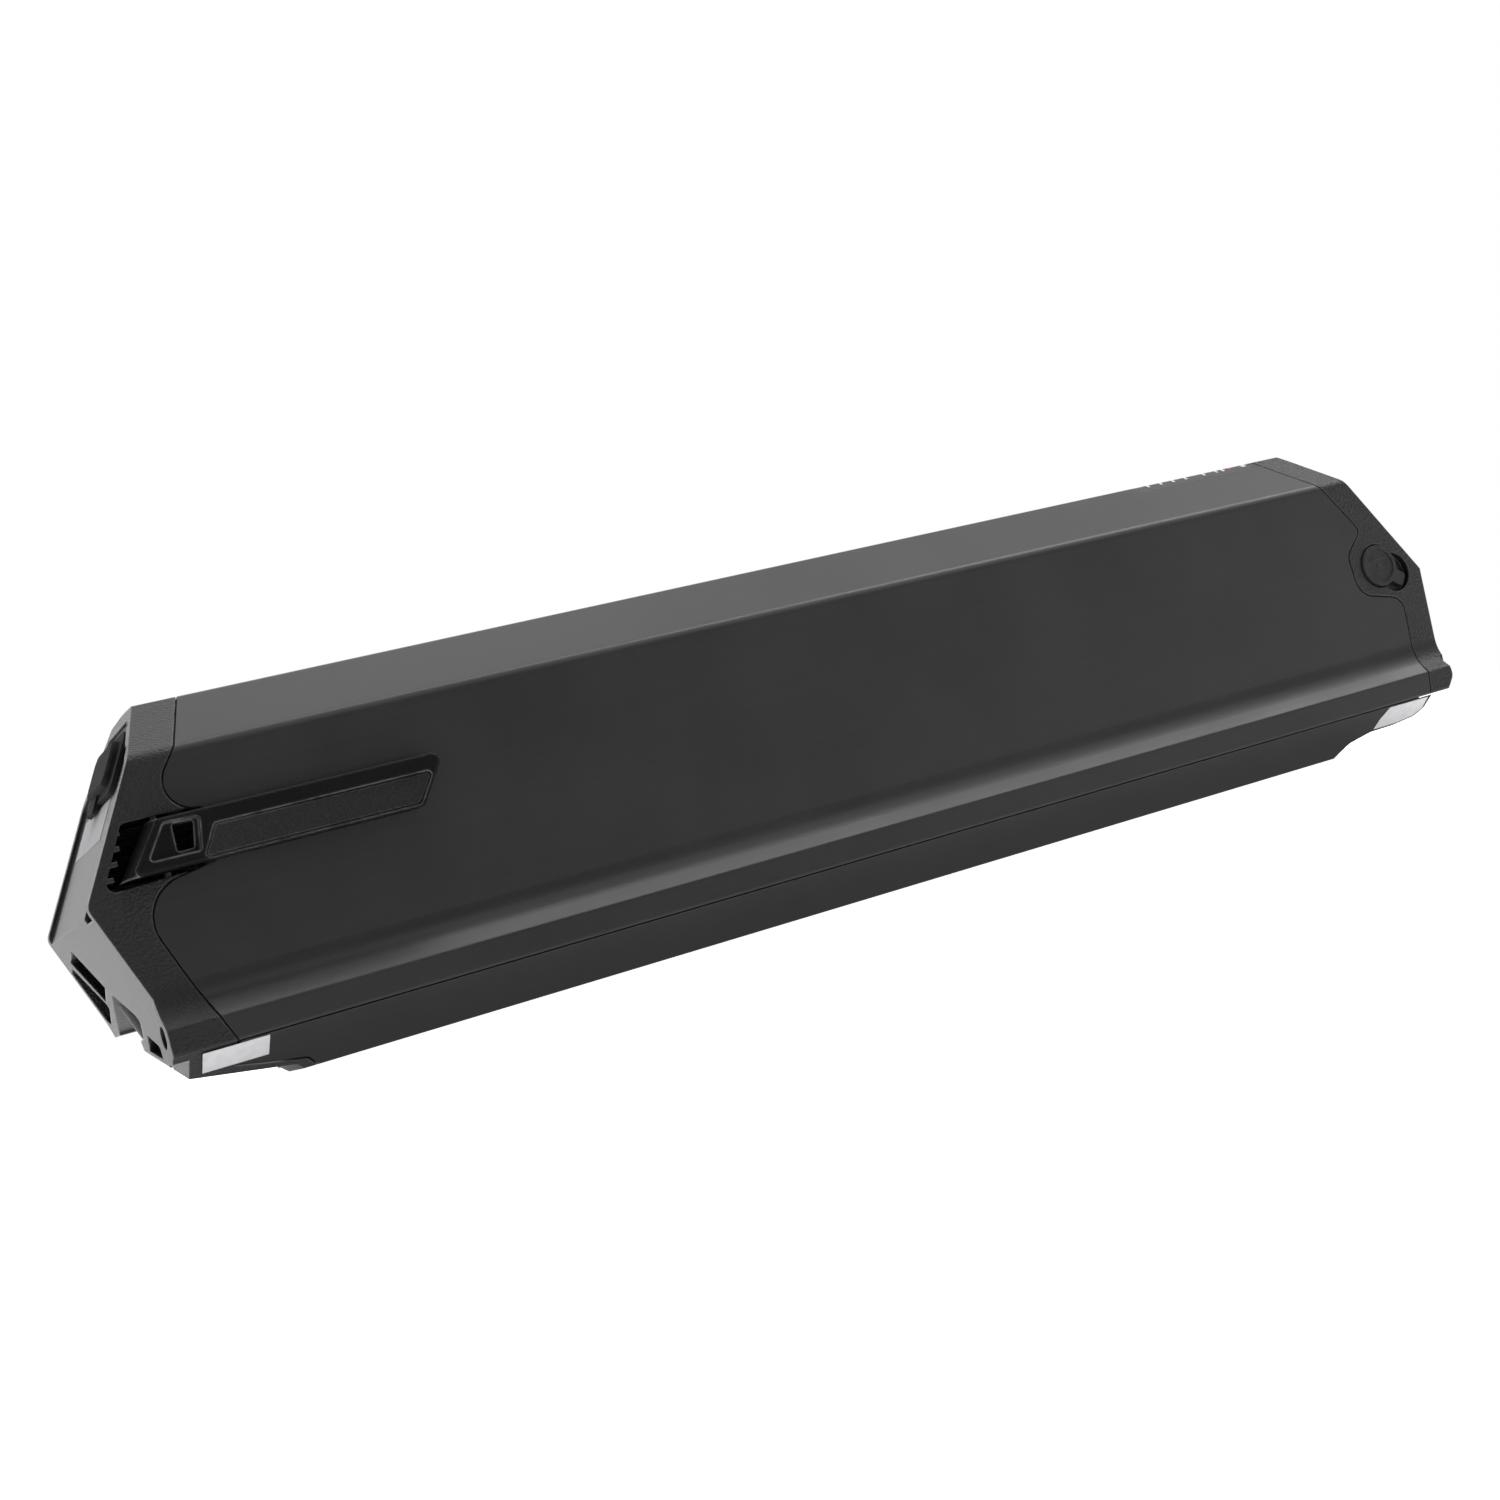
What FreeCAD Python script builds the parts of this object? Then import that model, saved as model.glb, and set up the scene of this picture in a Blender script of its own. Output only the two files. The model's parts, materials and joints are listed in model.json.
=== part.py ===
import FreeCAD, Part
import math
import os

os.makedirs("parts", exist_ok=True)

# Bevel-sided battery pack. All sizes are in millimetres.
# Modelled with x = 0 at the left end's crease, z = 0 at the crease height and y = 0 in the middle,
# then moved on export so that the origin is the centre of the base.

V = FreeCAD.Vector

# Cross-section: half widths and heights
TOP_HALF, TOP_Z = 19.1, 56.8
CROWN_Z = 57.7
SIDE_HALF, BEVEL_Z = 44.0, 38.7
FLARE_Z = -31.2
FLANGE_HALF, FLANGE_TOP, FLANGE_BOTTOM = 51.0, -38.6, -46.4
SLANT_HALF, SLANT_TOP = 49.0, -46.8
BASE_HALF, BASE_Z = 29.7, -59.6
WALL = 2.2
CAP_WALL, END_WALL = 2.8, 3.6

# Ends
UP_SLOPE = 0.554
DOWN_SLOPE = 0.3727
LOW_END_X, LOW_END_Z = 15.5, -41.6
EAR_X, EAR_TOP, EAR_INNER = 10.84, -29.1, -40.4
NOSE_X = 507.6
NOSE_UP, NOSE_DOWN, NOSE_SIDE = 0.592, 0.12, 0.208
NOTCH_X, NOTCH_LONG_X, NOTCH_Z = 33.0, 62.0, -34.8
PANEL_DEPTH = 1.4

# Joints between housing, caps and base
JOINT_GAP = 0.5
LEFT_JOINT = [
    (49.3, 64.0), (35.3, 39.2, 1.5), (21.0, 20.6, 8.0), (38.5, 20.6, 1.5), (38.5, 4.4, 1.0),
    (12.5, -0.1, 12.0), (24.4, -32.1, 3.0), (26.4, -39.0, 1.0), (29.6, -46.4), (29.6, -50.0),
]
RIGHT_JOINT = [
    (482.6, -50.0), (482.6, -46.4), (484.4, -39.0), (486.6, -30.6), (489.6, -9.2, 5.0), (470.3, -4.4, 8.0),
    (470.3, 11.2, 6.0), (479.4, 19.3, 3.0), (466.6, 39.2, 1.0), (460.7, 56.9), (460.7, 64.0),
]
BASE_OUTLINE = [
    (30.2, SLANT_TOP), (28.9, -52.7, 1.0), (40.0, -54.8, 4.0), (51.0, -56.5, 3.0), (55.2, -60.5),
    (447.8, -60.5), (448.6, -59.2, 1.0), (452.5, -55.8, 4.0), (461.0, -53.9, 8.0), (472.3, -53.7, 10.0),
    (481.3, -52.7, 3.0), (484.6, -50.8, 1.5), (484.9, SLANT_TOP),
]

# Screws
TOP_BOSS = (32.5, 40.4)
LOW_BOSS = (44.0, -40.1)
BOSS_R, BOSS_HOLE_R = 4.0, 1.95
SCREW_R, SCREW_CLEAR_R, HEAD_R, HEAD_H, COUNTERBORE_R = 1.85, 2.2, 3.0, 2.8, 3.4

# Lock bolt hole in the catch plate
BOLT_R, BOLT_AT = 2.4, (7.0, -30.8)

# Carry lever
LEVER_BOTTOM, LEVER_TOP = 4.5, 19.4
LEVER_FACE, LEVER_BACK = -50.7, -44.7
LEVER_LEFT, LEVER_RIGHT = 12.9, 100.0
LEVER_LEAN = 10.6
HINGE_X, HINGE_Y = 24.5, -40.5
PIN_R, PIN_BORE_R, PIN_SEAT_R = 1.2, 1.25, 1.22
HEEL_RIGHT = 28.6
GRIP_SEAT = -49.2
RECESS_LEFT, RECESS_BACK = 3.2, -25.8
RECESS_BOTTOM, RECESS_TOP, RECESS_RIGHT = 2.3, 21.0, 37.4
FINS = ((5.4, 6.8), (9.5, 10.9), (13.6, 15.0), (17.8, 19.2))

# Charging plug and socket
PLUG_X, PLUG_Z, PLUG_R = 483.3, 4.7, 7.8
FINGER_X, FINGER_Z, FINGER_R = 489.3, 1.2, 7.5
TAB_END = (493.7, -2.7)
PLUG_PROUD = 0.9
SOCKET_BORE_R = 5.0
SOCKET_FRONT = -30.0

# Indicator strip
FILM_X = (404.5, 459.3)
FILM_Y = (-22.3, 6.0)
FILM_T = 0.5
MARK_X = (410.5, 416.5, 422.3, 428.2, 436.9, 443.0, 446.1, 456.1)
STATUS_X = 449.3
BUTTON_X, BUTTON_Y, BUTTON_R = 455.0, -8.5, 3.2

# Cells
CELL_R, CELL_LENGTH = 10.6, 70.0
CELL_PITCH, ROW_PITCH = 21.8, 18.9
CELL_X, CELL_Z = 66.0, -31.5
COLUMNS = (17, 16, 17, 15)
HOLDER_X = (53.0, 428.0)
HOLDER_Z = (-43.2, 36.1)

# Board area at the charging end
BOARD_X = 436.0
SHIFT = V(-NOSE_X / 2, 0, -BASE_Z)


def outline(points, plane):
    """Closed wire through (u, v) or (u, v, corner radius) points in plane yz, xz or xy."""
    corners = [(V(p[0], p[1], 0), p[2] if len(p) > 2 else 0.0) for p in points]
    pieces = []
    count = len(corners)
    for i, (here, radius) in enumerate(corners):
        if radius == 0:
            pieces.append((here, None, here))
            continue
        back = (corners[i - 1][0] - here).normalize()
        ahead = (corners[(i + 1) % count][0] - here).normalize()
        half = back.getAngle(ahead) / 2
        reach = radius / math.tan(half)
        middle = (back + ahead).normalize() * (radius / math.sin(half) - radius)
        pieces.append((here + back * reach, here + middle, here + ahead * reach))
    turn = {
        "xy": lambda p: V(p.x, p.y, 0),
        "yz": lambda p: V(0, p.x, p.y),
        "xz": lambda p: V(p.x, 0, p.y),
    }[plane]
    edges = []
    for i, (start, middle, end) in enumerate(pieces):
        if middle is not None:
            edges.append(Part.Arc(turn(start), turn(middle), turn(end)).toShape())
        following = pieces[(i + 1) % count][0]
        if (following - end).Length > 1e-6:
            edges.append(Part.makeLine(turn(end), turn(following)))
    return Part.Wire(edges)


def extrude(face, plane, low, high):
    """Solid from a face in a plane through the origin, between two heights on its normal."""
    normal = {"xy": V(0, 0, 1), "yz": V(1, 0, 0), "xz": V(0, 1, 0)}[plane]
    moved = face.copy()
    moved.translate(normal * low)
    return moved.extrude(normal * (high - low))


def prism(points, plane, low, high):
    return extrude(Part.Face(outline(points, plane)), plane, low, high)


def box(x, y, z):
    """Box between the two values of each pair."""
    return Part.makeBox(x[1] - x[0], y[1] - y[0], z[1] - z[0], V(x[0], y[0], z[0]))


def rod(radius, start, end):
    """Cylinder from one point to another."""
    along = V(*end) - V(*start)
    return Part.makeCylinder(radius, along.Length, V(*start), along)


def fuse(shapes):
    return shapes[0].multiFuse(shapes[1:]).removeSplitter() if len(shapes) > 1 else shapes[0]


def place(shape, origin, u, v):
    """Shape drawn on local axes (u, v, u x v), moved to an origin."""
    w = u.cross(v)
    matrix = FreeCAD.Matrix(
        u.x, v.x, w.x, origin.x,
        u.y, v.y, w.y, origin.y,
        u.z, v.z, w.z, origin.z,
        0, 0, 0, 1)
    placed = shape.copy()
    placed.Placement = FreeCAD.Placement(matrix)
    return placed


def mirrored(points):
    """Left half of a section, from its right half in reverse order."""
    return [(-p[0],) + tuple(p[1:]) for p in reversed(points)]


def rounded_edges(shape, radius, wanted):
    """Fillet the edges whose middle passes a test."""
    edges = [e for e in shape.Edges if wanted(e.CenterOfMass)]
    return shape.makeFillet(radius, edges)


# Local frame of the upper end face: u across, v up the slope, w into the pack
UP_LENGTH = math.hypot(UP_SLOPE, 1)
UP_V = V(UP_SLOPE / UP_LENGTH, 0, 1 / UP_LENGTH)
UP_U = V(0, 1, 0)


def on_upper_face(points, low, high):
    """Prism on the upper end face; points are (across, up the slope), heights are into the pack."""
    return place(prism(points, "xy", low, high), V(0, 0, 0), UP_U, UP_V)


# Local frame of the near slanted base side: u along, v down and inwards, w into the pack
SLANT_V = V(0, SLANT_HALF - BASE_HALF, BASE_Z - SLANT_TOP).normalize()
SLANT_START = V(0, -SLANT_HALF, SLANT_TOP)


def on_slant(points, low, high):
    """Prism on the near slanted side; points are (along, down the slant)."""
    return place(prism(points, "xy", low, high), SLANT_START, V(1, 0, 0), SLANT_V)


UPPER_HALF = [
    (TOP_HALF, TOP_Z, 3.0), (SIDE_HALF, BEVEL_Z, 4.0), (SIDE_HALF, FLARE_Z, 12.0),
    (FLANGE_HALF, FLANGE_TOP, 1.0), (FLANGE_HALF, FLANGE_BOTTOM, 0.8),
]
LOWER_HALF = [(SLANT_HALF, FLANGE_BOTTOM), (BASE_HALF, BASE_Z, 1.5)]
CROWN = [(0.0, CROWN_Z, 150.0)]
UPPER_SECTION = Part.Face(outline(CROWN + UPPER_HALF + mirrored(UPPER_HALF), "yz"))
FULL_SECTION = Part.Face(outline(
    CROWN + UPPER_HALF + LOWER_HALF + mirrored(UPPER_HALF + LOWER_HALF), "yz"))
LONG = (-20.0, 540.0)


def section_solid(inset=0.0, face=UPPER_SECTION):
    """Full-length solid of a section, shrunk by an inset."""
    shrunk = face.makeOffset2D(-inset) if inset else face
    return extrude(shrunk, "yz", *LONG)


HOUSING_REGION = Part.Face(outline(LEFT_JOINT + RIGHT_JOINT, "xz"))
BASE_REGION = Part.Face(outline(BASE_OUTLINE, "xz"))


def region_solid(face, grow=0.0):
    """Side-profile region swept across the pack, grown by an offset."""
    grown = face.makeOffset2D(grow) if grow else face
    return extrude(grown, "xz", -70.0, 70.0)


def notch():
    """Clearance for the frame's lock body: the far lower corner of the left end."""
    end = prism([
        (-60.0, -53.5), (-38.5, -53.6), (18.5, -42.0), (12.5, -38.4, 1.0), (17.7, NOTCH_Z, 1.0),
        (60.0, NOTCH_Z), (60.0, -75.0), (-60.0, -75.0)], "yz", -5.0, 16.5)
    middle = prism([
        (-10.0, -47.2), (18.5, -42.0), (12.5, -38.4, 1.0), (17.7, NOTCH_Z, 1.0),
        (60.0, NOTCH_Z), (60.0, -75.0), (-10.0, -75.0)], "yz", 16.0, NOTCH_X)
    rear = box((NOTCH_X - 1, NOTCH_LONG_X), (-10.0, 60.0), (-75.0, FLANGE_BOTTOM - 0.2))
    return fuse([end, middle, rear])


def left_end_region():
    """Side profile of the left end, with the near ear added."""
    profile = prism([
        (UP_SLOPE * 64, 64.0), (0.0, 0.0, 4.0), (LOW_END_X, LOW_END_Z, 0.5), (LOW_END_X, -53.5),
        (18.8, -53.8), (47.6, -57.8), (49.8, -59.6), (90.0, -60.5), (90.0, 64.0)],
        "xz", -60.0, 60.0)
    ear = box((EAR_X, 30.0), (-60.0, EAR_INNER), (-48.0, EAR_TOP))
    return fuse([profile, ear])


def right_end_region():
    """Nose with bevelled sides: an outline in plan, sheared up and down from the crease."""
    side_x = NOSE_X + NOSE_SIDE * TOP_HALF - NOSE_SIDE * 60.0
    plan = Part.Face(outline([
        (400.0, -60.0), (side_x, -60.0), (NOSE_X, -TOP_HALF, 60.0), (NOSE_X, TOP_HALF, 60.0),
        (side_x, 60.0), (400.0, 60.0)], "xy"))
    upper = plan.extrude(V(-NOSE_UP, 0, 1) * 60.0)
    lower = plan.extrude(V(-NOSE_DOWN, 0, -1) * 60.0)
    tip = prism([(400.0, 57.9), (473.8, 57.9, 8.0), (507.9, 0.3), (520.0, 0.0), (498.4, -29.0),
                 (495.6, -36.0, 2.0), (495.9, -42.0, 4.0), (492.0, FLANGE_BOTTOM, 3.0),
                 (400.0, FLANGE_BOTTOM)], "xz", -60.0, 60.0)
    centre = box((400.0, 520.0), (-46.5, 46.5), (FLANGE_BOTTOM, 62.0))
    return fuse([upper, lower]).common(fuse([tip, centre]))


def screw_axes(side):
    """Screw axes at one end as (y, z, seat x, end x, direction into the pack)."""
    top_y, top_z = TOP_BOSS
    low_y, low_z = LOW_BOSS
    if side == "left":
        return [(-top_y, top_z, 29.0, 10.0, 1), (top_y, top_z, 29.0, 10.0, 1), (-low_y, low_z, 19.5, 0.0, 1)]
    return [(y * s, z, seat, 520.0, -1) for s in (-1, 1)
            for y, z, seat in ((top_y, top_z, 472.0), (low_y, low_z, 488.0))]


def housing_extrusion():
    shell = section_solid().cut(section_solid(WALL))
    shell = shell.cut(box(LONG, (-45.5, 45.5), (-50.0, -43.0)))
    bosses = []
    for y, z in (TOP_BOSS, LOW_BOSS):
        for side in (-1, 1):
            bosses.append(rod(BOSS_R, (LONG[0], side * y, z), (LONG[1], side * y, z)))
    profile = fuse([shell, fuse(bosses).common(section_solid(0.5))])
    for y, z in (TOP_BOSS, LOW_BOSS):
        for side in (-1, 1):
            profile = profile.cut(rod(BOSS_HOLE_R, (LONG[0], side * y, z), (LONG[1], side * y, z)))
    body = profile.common(region_solid(HOUSING_REGION))
    body = body.cut(box((0.0, NOTCH_X), (0.0, 60.0), (-60.0, NOTCH_Z)))
    return body.cut(fuse([film_pocket()] + light_pipe_holes() + [button_hole()]))


def film_solid(outer, inner):
    """Skin between two insets of the section, over the near top edge."""
    patch = box(FILM_X, FILM_Y, (48.0, 60.0))
    return section_solid(outer).cut(section_solid(inner)).common(patch)


def film_pocket():
    skin = box((FILM_X[0] - 0.1, FILM_X[1] + 0.1), (FILM_Y[0] - 0.1, FILM_Y[1] + 0.1), (48.0, 60.0))
    return skin.cut(section_solid(FILM_T + 0.05))


def button_hole():
    return rod(BUTTON_R + 0.3, (BUTTON_X, BUTTON_Y, 52.0), (BUTTON_X, BUTTON_Y, 60.0))


def pipe_box(x, half, grow):
    """Light pipe: a bar over the top edge with a post down through the wall."""
    bar = box((x - half - grow, x + half + grow), (-20.6 - grow, -12.0 + grow), (48.0, 60.0))
    bar = bar.cut(section_solid(FILM_T + grow))
    post = box((x - half - grow, x + half + grow), (-15.0 - grow, -12.0 + grow), (52.2 - grow, 57.5))
    return fuse([bar, post])


def light_pipe_holes():
    holes = [pipe_box(x, 0.5, 0.05) for x in MARK_X[:-1]]
    holes.append(pipe_box(MARK_X[-1], 0.9, 0.05))
    holes.append(pipe_box(STATUS_X, 0.5, 0.05))
    return holes


def light_pipes():
    bars = [pipe_box(x, 0.5, 0.0) for x in MARK_X[:-1]]
    bars.append(pipe_box(MARK_X[-1], 0.9, 0.0))
    return Part.makeCompound([bar.common(section_solid(0.0)) for bar in bars])


def status_window():
    return pipe_box(STATUS_X, 0.5, 0.0).common(section_solid(0.0))


def indicator_film():
    film = film_solid(0.05, FILM_T)
    return film.cut(fuse(light_pipe_holes() + [button_hole()]))


def power_button():
    cap = rod(BUTTON_R, (BUTTON_X, BUTTON_Y, 52.4), (BUTTON_X, BUTTON_Y, 57.55))
    cap = rounded_edges(cap, 0.4, lambda c: c.z > 57.4)
    ring = rod(BUTTON_R - 0.9, (BUTTON_X, BUTTON_Y, 57.3), (BUTTON_X, BUTTON_Y, 58.0))
    ring = ring.cut(rod(BUTTON_R - 1.4, (BUTTON_X, BUTTON_Y, 57.0), (BUTTON_X, BUTTON_Y, 58.2)))
    return cap.cut(ring)


def indicator_board():
    board = box((400.0, 461.5), (-15.5, 13.0), (48.8, 50.4))
    leds = [box((x - 0.9, x + 0.9), (-14.6, -12.4), (50.4, 51.4)) for x in MARK_X + (STATUS_X,)]
    switch = box((BUTTON_X - 3, BUTTON_X + 3), (BUTTON_Y - 2.6, BUTTON_Y + 3), (50.4, 51.3))
    plug = box((404.0, 412.0), (4.0, 10.0), (44.8, 48.8))
    return fuse([board, switch, plug] + leds)


def base_cover():
    body = prism([(SLANT_HALF, SLANT_TOP), (BASE_HALF, BASE_Z, 1.5), (-BASE_HALF, BASE_Z, 1.5),
                  (-SLANT_HALF, SLANT_TOP)], "yz", *LONG).common(region_solid(BASE_REGION))
    body = body.cut(box((0.0, NOTCH_LONG_X), (-10.2, 60.0), (-70.0, -40.0)))
    hollow = prism([(45.2, -46.0), (45.2, SLANT_TOP - 0.2), (28.6, -57.0, 1.0), (-28.6, -57.0, 1.0),
                    (-45.2, SLANT_TOP - 0.2), (-45.2, -46.0)], "yz", 0.0, 520.0)
    inside = prism([(34.0, -44.0), (34.0, -50.0), (57.0, -53.5), (64.0, -57.2), (444.0, -57.2),
                    (452.0, -53.9), (464.0, -50.6), (480.0, -48.0), (481.5, -44.0)], "xz", -60.0, 60.0)
    inside = inside.cut(box((0.0, NOTCH_LONG_X + 2.5), (-13.0, 60.0), (-70.0, -40.0)))
    body = body.cut(hollow.common(inside))
    tongues = [box(x, y, (-48.0, -44.6)) for x, y in
               (((29.4, 482.0), (-45.2, -43.4)), ((NOTCH_LONG_X + 1.0, 482.0), (43.4, 45.2)))]
    body = fuse([body] + tongues)
    channel = prism([(-13.0, -61.0), (-13.0, -58.2, 0.5), (13.0, -58.2, 0.5), (13.0, -61.0)],
                    "yz", 90.0, 420.0)
    grooves = [box((90.0, 420.0), (s * 21.0 - 0.6, s * 21.0 + 0.6), (-61.0, -59.0)) for s in (-1, 1)]
    drains = [rod(1.6, (x, 0.0, -62.0), (x, 0.0, -55.0)) for x in (110.0, 255.0, 400.0)]
    mouth = box((452.0, 479.0), (-17.0, 17.0), (-62.0, -44.0))
    return body.cut(fuse([channel, mouth] + grooves + drains))


def recess_tool():
    """Pocket behind the carry lever, with a slanted left side."""
    height = RECESS_TOP - RECESS_BOTTOM
    left = RECESS_LEFT + UP_SLOPE * RECESS_BOTTOM
    shift = UP_SLOPE * height
    return prism([
        (left + 0.6, RECESS_BOTTOM, 2.5), (RECESS_RIGHT, RECESS_BOTTOM + 1.4, 1.0),
        (RECESS_RIGHT, RECESS_TOP, 1.0), (left + shift, RECESS_TOP, 1.5)],
        "xz", -50.0, RECESS_BACK)


def recess_fins():
    """Level fins across the pocket's left side and back, hollowed for the lever's swing."""
    fins = []
    for low, high in FINS:
        fin = box((RECESS_LEFT + UP_SLOPE * low, 28.0), (-46.5, RECESS_BACK + 0.5), (low, high))
        end_x = LEVER_LEFT + LEVER_LEAN * (low - LEVER_BOTTOM) / (LEVER_TOP - LEVER_BOTTOM)
        sweep = max(math.hypot(HINGE_X - end_x + 1.2, 8.4), math.hypot(HINGE_X - end_x, 10.2)) + 0.8
        fins.append(fin.cut(rod(sweep, (HINGE_X, HINGE_Y, 0.0), (HINGE_X, HINGE_Y, 25.0))))
    return fins


def recess_slots():
    """Level grooves in the pocket's back wall, between the fins."""
    slots = []
    for low, high in zip((3.9,) + tuple(fin[1] for fin in FINS), tuple(fin[0] for fin in FINS) + (20.6,)):
        start = RECESS_LEFT + UP_SLOPE * high + 1.2
        slots.append(box((start, RECESS_RIGHT - 0.9), (RECESS_BACK - 0.1, RECESS_BACK + 1.8), (low, high)))
    return slots


def left_end_cap():
    outer = section_solid(0.0, FULL_SECTION).common(left_end_region())
    outer = outer.cut(region_solid(HOUSING_REGION, JOINT_GAP))
    outer = outer.cut(region_solid(BASE_REGION, JOINT_GAP))
    cavity = section_solid(CAP_WALL).common(prism([
        (UP_SLOPE * 64 + 5.2, 64.0), (5.2, 0.5, 3.0), (4.8 + DOWN_SLOPE * 29, -29.5), (60.0, -29.5),
        (60.0, 64.0)], "xz", -60.0, 60.0))
    keep = [
        box((0.0, 40.6), (-45.0, -22.4), (0.2, 23.4)),
        on_upper_face([(-19.5, 37.5), (-19.5, 59.5), (19.5, 59.5), (19.5, 37.5)], 0.0, 11.0),
    ]
    keep += [rod(5.2, (8.0, y, z), (45.0, y, z)) for y, z, _, _, _ in screw_axes("left")]
    body = outer.cut(cavity.cut(fuse(keep)))
    body = fuse([body.cut(recess_tool()), fuse(recess_fins()).common(outer)])
    panel = on_upper_face([
        (-40.4, -7.0), (-40.4, 42.5, 3.0), (-17.0, 61.0, 3.0), (17.0, 61.0, 3.0), (40.4, 42.5, 3.0),
        (40.4, -7.0)], -6.0, PANEL_DEPTH)
    tools = [notch(), under_facet(), panel, port_pocket(), hinge_seat(), crease_slot(), rim_hole()]
    tools += recess_slots() + lower_pockets()
    for y, z, seat, end, _ in screw_axes("left"):
        tools.append(rod(COUNTERBORE_R, (end, y, z), (seat, y, z)))
        tools.append(rod(SCREW_CLEAR_R, (end, y, z), (60.0, y, z)))
    for tool in tools:
        body = body.cut(tool)
    return max(body.fuse(lock_post()).Solids, key=lambda s: s.Volume)


def under_facet():
    """Half space below the slanted facet under the near side of the end."""
    block = box((-20.0, 70.0), (-20.0, 32.6), (0.0, 30.0))
    return place(block, V(15.5, -40.26, -53.35), V(0, 0.98018, 0.19809), V(0.9833, 0.03605, -0.1783))


def lock_post():
    """Round post behind the arch, parallel to the lower end face."""
    top, bottom = -24.6, -37.6
    return rod(3.5, (5.5 - DOWN_SLOPE * top, 18.0, top), (5.5 - DOWN_SLOPE * bottom, 18.0, bottom))


def port_pocket():
    return on_upper_face([
        (-16.0, 41.5, 3.0), (-16.0, 54.5, 3.0), (16.0, 54.5, 3.0), (16.0, 41.5, 3.0)], -1.0, 9.0)


def hinge_seat():
    return rod(PIN_SEAT_R, (HINGE_X, HINGE_Y, 1.0), (HINGE_X, HINGE_Y, 22.4))


def crease_slot():
    return box((-2.0, 7.0), (-40.2, -31.0), (-3.2, 2.2))


def rim_hole():
    """Small pin hole at the top of the rim."""
    return rod(0.9, (20.0, -21.5, 51.4), (40.0, -21.5, 51.4))


def lower_pockets():
    """Openings in the lower end face, drawn as seen from the end."""
    upper_window = prism([(18.3, -6.4, 0.4), (8.0, -20.3, 0.4), (21.5, -24.0, 0.4), (31.8, -9.1, 0.4)],
                         "yz", -5.0, 26.0)
    lower_window = prism([(36.0, -10.4, 0.4), (23.2, -24.9, 0.4), (24.0, -26.3, 0.4), (39.0, -30.9, 0.4),
                          (41.6, -28.5, 0.4), (41.6, -11.9, 0.4)], "yz", -5.0, 26.0)
    arch = prism([
        (15.0, -26.0, 1.5), (5.5, -22.8, 3.0), (-1.5, -27.6, 6.0), (-8.2, -32.3, 2.0), (5.5, -38.0),
        (14.0, -38.6), (30.0, -37.0), (38.0, -34.6, 0.6)], "yz", -5.0, 29.0)
    trap = prism([(-2.4, -37.4, 0.4), (-9.0, -42.5, 0.4), (-9.0, -45.8, 0.4), (9.6, -42.1, 0.4)],
                 "yz", -5.0, 26.0)
    sliver = prism([(-15.0, -47.4), (-29.0, -50.5, 0.3), (-17.0, -48.8, 0.3)], "yz", -5.0, 24.0)
    bolt = rod(BOLT_R + 0.4, (28.0, *BOLT_AT), (33.0, *BOLT_AT))
    return [upper_window, lower_window, arch, trap, sliver, bolt]


def lock_catch():
    """Steel plate at the back of the arch, with a round hole for the lock bolt."""
    plate = prism([(3.0, -26.9, 1.2), (24.0, -30.6, 1.0), (24.0, -34.2, 1.0), (3.0, -34.2, 1.2)],
                  "yz", 26.0, 29.0)
    return plate.cut(rod(BOLT_R, (20.0, *BOLT_AT), (30.0, *BOLT_AT)))


def right_end_cap():
    outer = section_solid().common(right_end_region())
    outer = outer.cut(region_solid(HOUSING_REGION, JOINT_GAP))
    outer = outer.cut(box((400.0, 462.0), (-60.0, 60.0), (-50.0, 20.0)))
    inner_end = right_end_region()
    inner_end.translate(V(-END_WALL, 0, 0))
    end_space = box((440.0, 520.0), (-60.0, 60.0), (-43.5, 64.0))
    cavity = section_solid(CAP_WALL).common(inner_end).common(end_space)
    keep = [box((468.0, 500.0), (-45.0, SOCKET_FRONT), (-9.5, 17.0))]
    keep += [rod(5.2, (440.0, y, z), (505.0, y, z)) for y, z, _, _, _ in screw_axes("right")]
    body = outer.cut(cavity.cut(fuse(keep)))
    tools = [
        rod(PLUG_R + 0.5, (PLUG_X, -50.0, PLUG_Z), (PLUG_X, -40.6, PLUG_Z)),
        rod(FINGER_R, (FINGER_X, -50.0, FINGER_Z), (FINGER_X, -41.2, FINGER_Z)),
        rod(SOCKET_BORE_R, (PLUG_X, -50.0, PLUG_Z), (PLUG_X, -25.0, PLUG_Z)),
        box((440.0, 482.2), (-35.0, 35.0), (-50.0, -43.0)),
    ]
    for y, z, seat, end, _ in screw_axes("right"):
        tools.append(rod(COUNTERBORE_R, (end, y, z), (seat + 3.0, y, z)))
        tools.append(rod(SCREW_CLEAR_R, (end, y, z), (440.0, y, z)))
    for tool in tools:
        body = body.cut(tool)
    return max(body.Solids, key=lambda s: s.Volume)


def gasket(side):
    """Seal in the joint, following its curve round the section."""
    ring = section_solid(0.8).cut(section_solid(2.0))
    strip = region_solid(HOUSING_REGION, 0.33).cut(region_solid(HOUSING_REGION, 0.07))
    ends = {"left": (0.0, 60.0), "right": (440.0, 520.0)}[side]
    seal = ring.common(strip).common(box(ends, (-60.0, 60.0), (-46.0, 62.0)))
    if side == "left":
        seal = seal.cut(box((0.0, NOTCH_X + 0.3), (0.0, 60.0), (-60.0, NOTCH_Z + 0.3)))
    return Part.makeCompound([s for s in seal.Solids if s.Volume > 0.5])


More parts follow.
